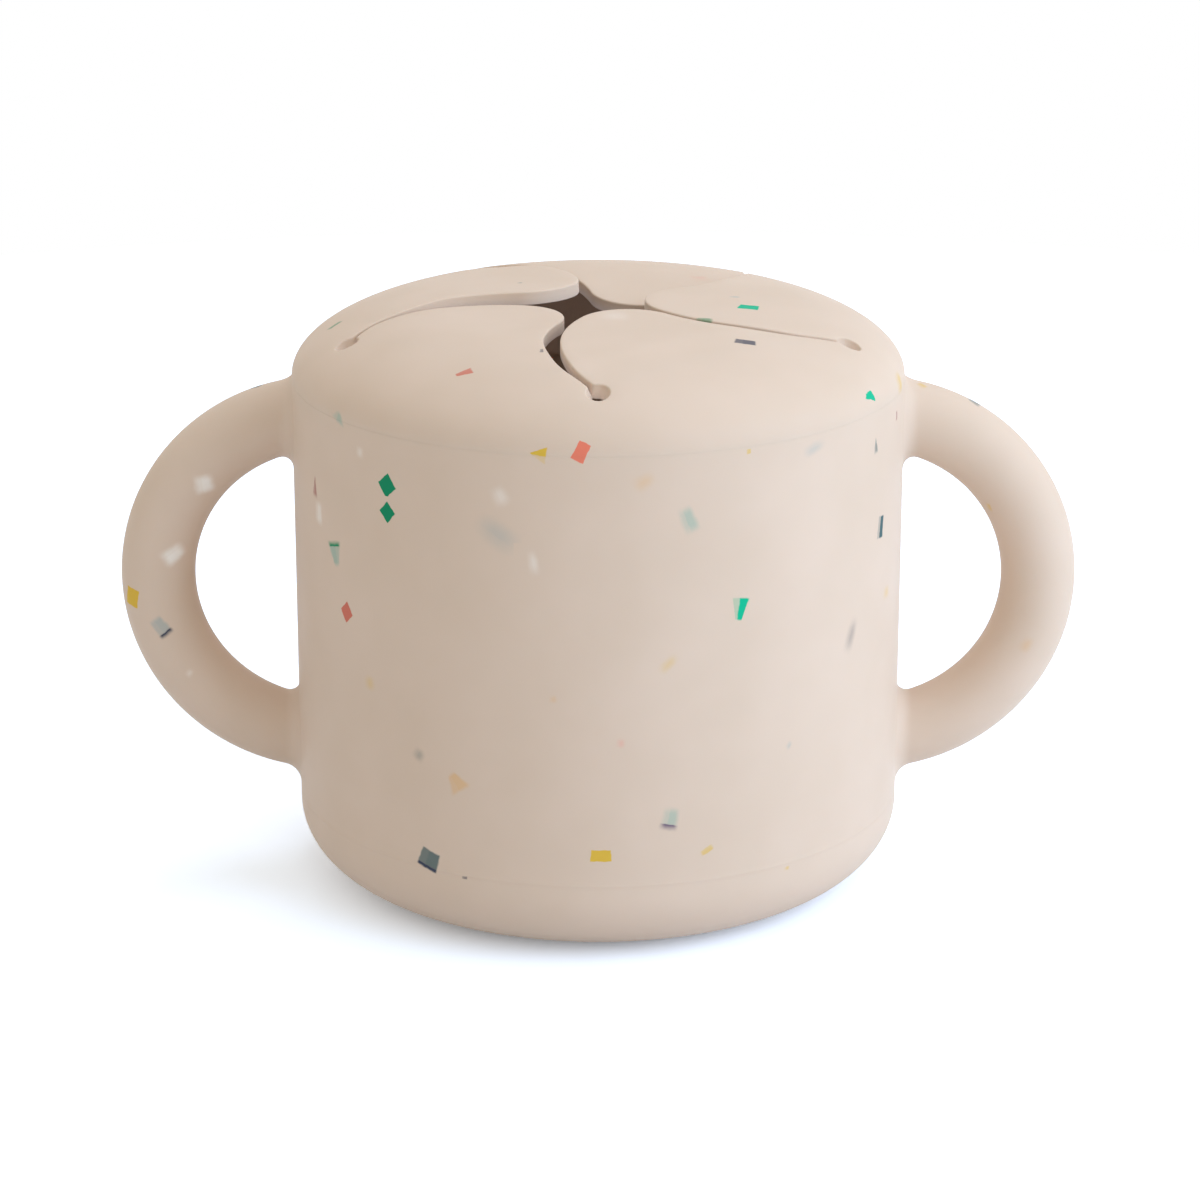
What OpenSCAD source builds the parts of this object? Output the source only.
// Toddler snack container: a silicone cup with two ring handles and a press-in lid
// whose top is cut into curved flaps that a small hand pushes through.
// Millimetres. Origin at the centre of the base, +Z up, handles along X, front towards -Y.

/* [Cup] */
// Outer radius of the cup and of the lid
cup_r = 45; // [38:0.5:60]
// Height of the cup's rim, where the lid's edge rests
cup_h = 76.2; // [70:0.2:110]
// Thickness of the cup's side wall
wall_t = 2.6; // [2:0.1:4]
// Thickness of the cup's floor
floor_t = 3; // [2:0.1:6]
// How far the rounded base edge reaches in from the side
base_round_r = 14.4; // [6:0.2:18]
// How far the rounded base edge reaches up the side
base_round_h = 11; // [7:0.2:16]
// Width of the lead-in chamfer inside the rim
mouth_chamfer = 0.5; // [0.2:0.1:1]

/* [Handles] */
// Radius of a handle's centre line
handle_r = 25; // [21:0.2:27]
// Radius of the handle's round section
grip_r = 5.5; // [4:0.1:6.5]
// How far the handle's ring centre lies inside the cup's outer wall
handle_inset = 4.3; // [0:0.1:12]
// Distance from the rim down to the top of the handle's ring
handle_drop = 0.8; // [0.4:0.1:6]
// How much a handle's root is thicker than its grip
root_flare = 1.3; // [0.2:0.1:2]
// Length over which a handle's root blends into its grip
flare_len = 4; // [2:0.2:8]
// Distance that a handle's root keeps below the rim
rim_margin = 0.3; // [0.2:0.1:2]

/* [Lid top] */
// Straight height of the lid's edge above the seam
lid_lip = 0.3; // [0.2:0.1:4]
// Width of the lid's rounded shoulder
shoulder_w = 22.9; // [16:0.1:28]
// Height of the lid's rounded shoulder
shoulder_h = 9.5; // [7:0.1:11]
// Rise of the lid's crown, spread over its whole width
crown_h = 0.8; // [0.2:0.1:2]
// Thickness of the lid's skin and flaps
lid_t = 2; // [1.4:0.1:2.4]

/* [Lid plug] */
// Gap between the lid's plug ring and the cup's wall
plug_gap = 0.25; // [0.15:0.05:0.6]
// Gap between a sealing rib's crest and the cup's wall
rib_gap = 0.06; // [0.03:0.01:0.1]
// Depth of the plug ring below the seam
plug_h = 8; // [7:0.5:16]
// Wall of the plug ring
plug_t = 1.9; // [1.4:0.1:3]
// Height of one sealing rib
rib_h = 1.2; // [0.8:0.1:1.6]
// Distance from the seam to the middle of the upper sealing rib
rib_drop = 2.4; // [2:0.1:3]
// Distance between the two sealing ribs
rib_pitch = 3; // [2:0.1:3.6]

/* [Flaps] */
// Distance from the plug ring to the edge of a relief hole
hole_inset = 0.35; // [0.2:0.05:3]
// Radius of a relief hole
hole_r = 1.9; // [1.2:0.1:2.2]
// Distance from the lid's axis to the curve of a slit
slit_miss = 3.8; // [3:0.1:5]
// Angle by which a slit leans at its hole
slit_lean = 5.6; // [4:0.2:8]
// Width of a slit
slit_w = 0.8; // [0.6:0.1:1.2]
// Radius of a flap's nose
nose_r = 8; // [5:0.2:9]
// Radius of a flap's rolling root
root_r = 2.6; // [2.5:0.1:3]
// Gap round a flap's rolling root
root_gap = 0.2; // [0.1:0.05:0.4]
// Length of the rim's tongue between a hole and the start of the next root
tongue_len = 7; // [6:0.2:9]
// Rest angle of each flap, up positive, from the front right one round to the front left one
flap_tilt = [-0.5, 0.5, -4.5, 2.5, -1.3];

/* [Hidden] */
$fn = 96;

silicone = [0.87, 0.79, 0.72];
round_steps = 10;
over = 1;

// Cup and handles
inner_r = cup_r - wall_t;
handle_x = cup_r - handle_inset;
handle_z = cup_h - handle_drop - grip_r - handle_r;
flare_turn = acos(handle_inset / handle_r);
flare_r = grip_r + root_flare;

// Lid skin and plug
crown_z = cup_h + lid_lip;
shoulder_in = cup_r - shoulder_w;
lid_top = crown_z + shoulder_h + crown_h;
plug_r = inner_r - plug_gap;
plug_in = plug_r - plug_t;
plug_z = cup_h - plug_h;
rib_r = inner_r - rib_gap;
rib_zs = [cup_h - rib_drop, cup_h - rib_drop - rib_pitch];

// Flaps: one lies with its root on the line y = -root_d, between two relief holes
flap_n = len(flap_tilt);
flap_turn = 360 / flap_n;
hole_ring_r = plug_in - hole_inset - hole_r;
root_d = hole_ring_r * cos(flap_turn / 2);
root_half = hole_ring_r * sin(flap_turn / 2);
root_end = root_half - tongue_len;
axis_z = (lid_z(hole_ring_r) + lid_z(root_d) - lid_t) / 2;

// A slit is an arc that starts at a relief hole and passes slit_miss from the lid's axis
hole_at = [-root_half, -root_d];
slit_dir = [cos(slit_lean), sin(slit_lean)];
slit_r = (hole_ring_r * hole_ring_r - slit_miss * slit_miss) / 2 / (slit_miss - hole_at * slit_dir);
near_c = hole_at + slit_r * slit_dir;
far_c = turned(near_c, flap_turn);
near_r = slit_r - slit_w / 2;
far_r = slit_r + slit_w / 2;

// The nose touches the flap's own slit from inside and the next slit from outside
gap_len = norm(far_c - near_c);
gap_dir = (far_c - near_c) / gap_len;
nose_near = near_r - nose_r;
nose_far = far_r + nose_r;
nose_along = (nose_near * nose_near - nose_far * nose_far + gap_len * gap_len) / 2 / gap_len;
nose_up = sqrt(nose_near * nose_near - nose_along * nose_along);
nose_c = near_c + nose_along * gap_dir + nose_up * [-gap_dir.y, gap_dir.x];
near_end = angle_of(nose_c - near_c);
far_start = angle_of(far_c - nose_c);
near_start = 180 + asin((root_d + near_c.y) / near_r);
root_x = hole_r / 2 - root_half;

function turned(p, a) = [p.x * cos(a) - p.y * sin(a), p.x * sin(a) + p.y * cos(a)];
function angle_of(v) = atan2(v.y, v.x);

function arc(c, r, a0, a1, steps = round_steps) =
    [for (i = [0:steps]) let (a = a0 + (a1 - a0) * i / steps) c + r * [cos(a), sin(a)]];

// Angle at which the far slit's outer arc reaches x, on its side towards the root
function far_angle(x) = 360 - acos((x - far_c.x) / far_r);

// A quarter of an ellipse, for rounded edges seen in section
function quarter(c, rx, rz, a0, a1) =
    [for (i = [0:round_steps]) let (a = a0 + (a1 - a0) * i / round_steps)
        c + [rx * cos(a), rz * sin(a)]];

// Height of the lid's outer face at radius r
function crown(r) = crown_h * (1 - pow(r / cup_r, 2));
function lid_z(r) = crown_z + crown(r)
    + shoulder_h * sqrt(max(0, 1 - pow(max(0, r - shoulder_in) / shoulder_w, 2)));

// Points of the lid's face in section, depth d below its outer face
function shoulder_point(a, d) =
    let (r = shoulder_in + shoulder_w * cos(a),
         z = crown_z + shoulder_h * sin(a) + crown(r),
         n = [shoulder_h * cos(a) + 2 * crown_h * r * shoulder_w * sin(a) / cup_r / cup_r,
              shoulder_w * sin(a)])
    [r, z] - d * n / norm(n);
function lid_face(d) =
    [for (i = [0:round_steps]) shoulder_point(90 * i / round_steps, d)];

module cup_blank() {
    rotate_extrude()
        polygon(concat(
            [[0, 0]],
            quarter([cup_r - base_round_r, base_round_h], base_round_r, base_round_h, -90, 0),
            [[cup_r, cup_h], [0, cup_h]]));
}

module cup_cavity() {
    round_r = max(mouth_chamfer, base_round_r - wall_t);
    round_h = max(mouth_chamfer, base_round_h - floor_t);
    rotate_extrude()
        polygon(concat(
            [[0, floor_t]],
            quarter([inner_r - round_r, floor_t + round_h], round_r, round_h, -90, 0),
            [[inner_r, cup_h - mouth_chamfer], [inner_r + mouth_chamfer, cup_h],
             [inner_r + mouth_chamfer, cup_h + over], [0, cup_h + over]]));
}

module cup_body() {
    color(silicone)
        difference() {
            cup_blank();
            cup_cavity();
        }
}

module handle_flare(side) {
    translate([handle_x, 0, handle_z])
        rotate([0, -side * flare_turn, 0])
            translate([handle_r, 0, 0])
                rotate([side > 0 ? 0 : 180, 0, 0]) {
                    translate([0, 0, -flare_len])
                        cylinder(r1 = grip_r, r2 = flare_r, h = flare_len);
                    cylinder(r = flare_r, h = flare_len);
                }
}

module handle() {
    color(silicone)
        difference() {
            union() {
                translate([handle_x, 0, handle_z])
                    rotate([90, 0, 0])
                        rotate_extrude()
                            translate([handle_r, 0])
                                circle(r = grip_r);
                handle_flare(1);
                handle_flare(-1);
            }
            cup_blank();
            translate([0, 0, cup_h - rim_margin])
                cylinder(r = cup_r + handle_r, h = 2 * grip_r);
        }
}

module lid_blank() {
    rotate_extrude()
        difference() {
            union() {
                polygon(concat(
                    [[0, cup_h], [cup_r, cup_h], [cup_r, crown_z]],
                    lid_face(0),
                    [[0, lid_top]]));
                translate([plug_in, plug_z])
                    square([plug_t, plug_h + over]);
                for (z = rib_zs)
                    polygon([[plug_r - over, z - rib_h / 2], [plug_r, z - rib_h / 2],
                             [rib_r, z], [plug_r, z + rib_h / 2], [plug_r - over, z + rib_h / 2]]);
            }
            intersection() {
                polygon(concat(
                    [[0, plug_z - over], [cup_r - lid_t, plug_z - over]],
                    lid_face(lid_t),
                    [[0, lid_top - lid_t]]));
                translate([0, plug_z - over])
                    square([plug_in, plug_h + lid_top]);
            }
        }
}

module through_lid() {
    translate([0, 0, plug_z - over])
        linear_extrude(lid_top - plug_z + 2 * over)
            children();
}

module each_flap() {
    for (i = [0:flap_n - 1])
        rotate([0, 0, flap_turn * (i + 0.5)])
            children();
}

module root_roll(r, x0, x1) {
    translate([x0, -root_d, axis_z])
        rotate([0, 90, 0])
            cylinder(r = r, h = x1 - x0);
}

module flap_outline() {
    polygon(concat(
        arc(near_c, near_r, near_start, near_end),
        arc(nose_c, nose_r, near_end, far_start),
        arc(far_c, far_r, far_start + 180, far_angle(root_end)),
        [[root_end, -root_d]]));
}

// The lid's opening seen from above: straight roots, a tongue beside each hole, and the holes
module opening_outline() {
    tongue_x = root_end + root_gap;
    polygon([for (i = [0:flap_n - 1])
        for (p = concat([[root_x, -root_d], [tongue_x, -root_d]],
                        arc(far_c, far_r, far_angle(tongue_x), far_angle(root_half))))
            turned(p, flap_turn * (i + 0.5))]);
    each_flap()
        translate(hole_at)
            circle(r = hole_r);
}

module lid_rim() {
    color(silicone)
        difference() {
            lid_blank();
            through_lid()
                opening_outline();
            each_flap()
                root_roll(root_r + root_gap, root_x - root_gap, root_end + root_gap);
        }
}

module flap(i) {
    color(silicone)
        rotate([0, 0, flap_turn * (i - 0.5)])
            translate([0, -root_d, axis_z])
                rotate([flap_tilt[i - 1], 0, 0])
                    translate([0, root_d, -axis_z])
                        difference() {
                            intersection() {
                                lid_blank();
                                union() {
                                    through_lid()
                                        flap_outline();
                                    root_roll(root_r, root_x, root_end);
                                }
                            }
                            through_lid()
                                translate(hole_at)
                                    circle(r = hole_r);
                        }
}

cup_body();
rotate([0, 0, 180]) handle();  // left_handle
handle();  // right_handle
lid_rim();
flap(1);  // flap_1
flap(2);  // flap_2
flap(3);  // flap_3
flap(4);  // flap_4
flap(5);  // flap_5
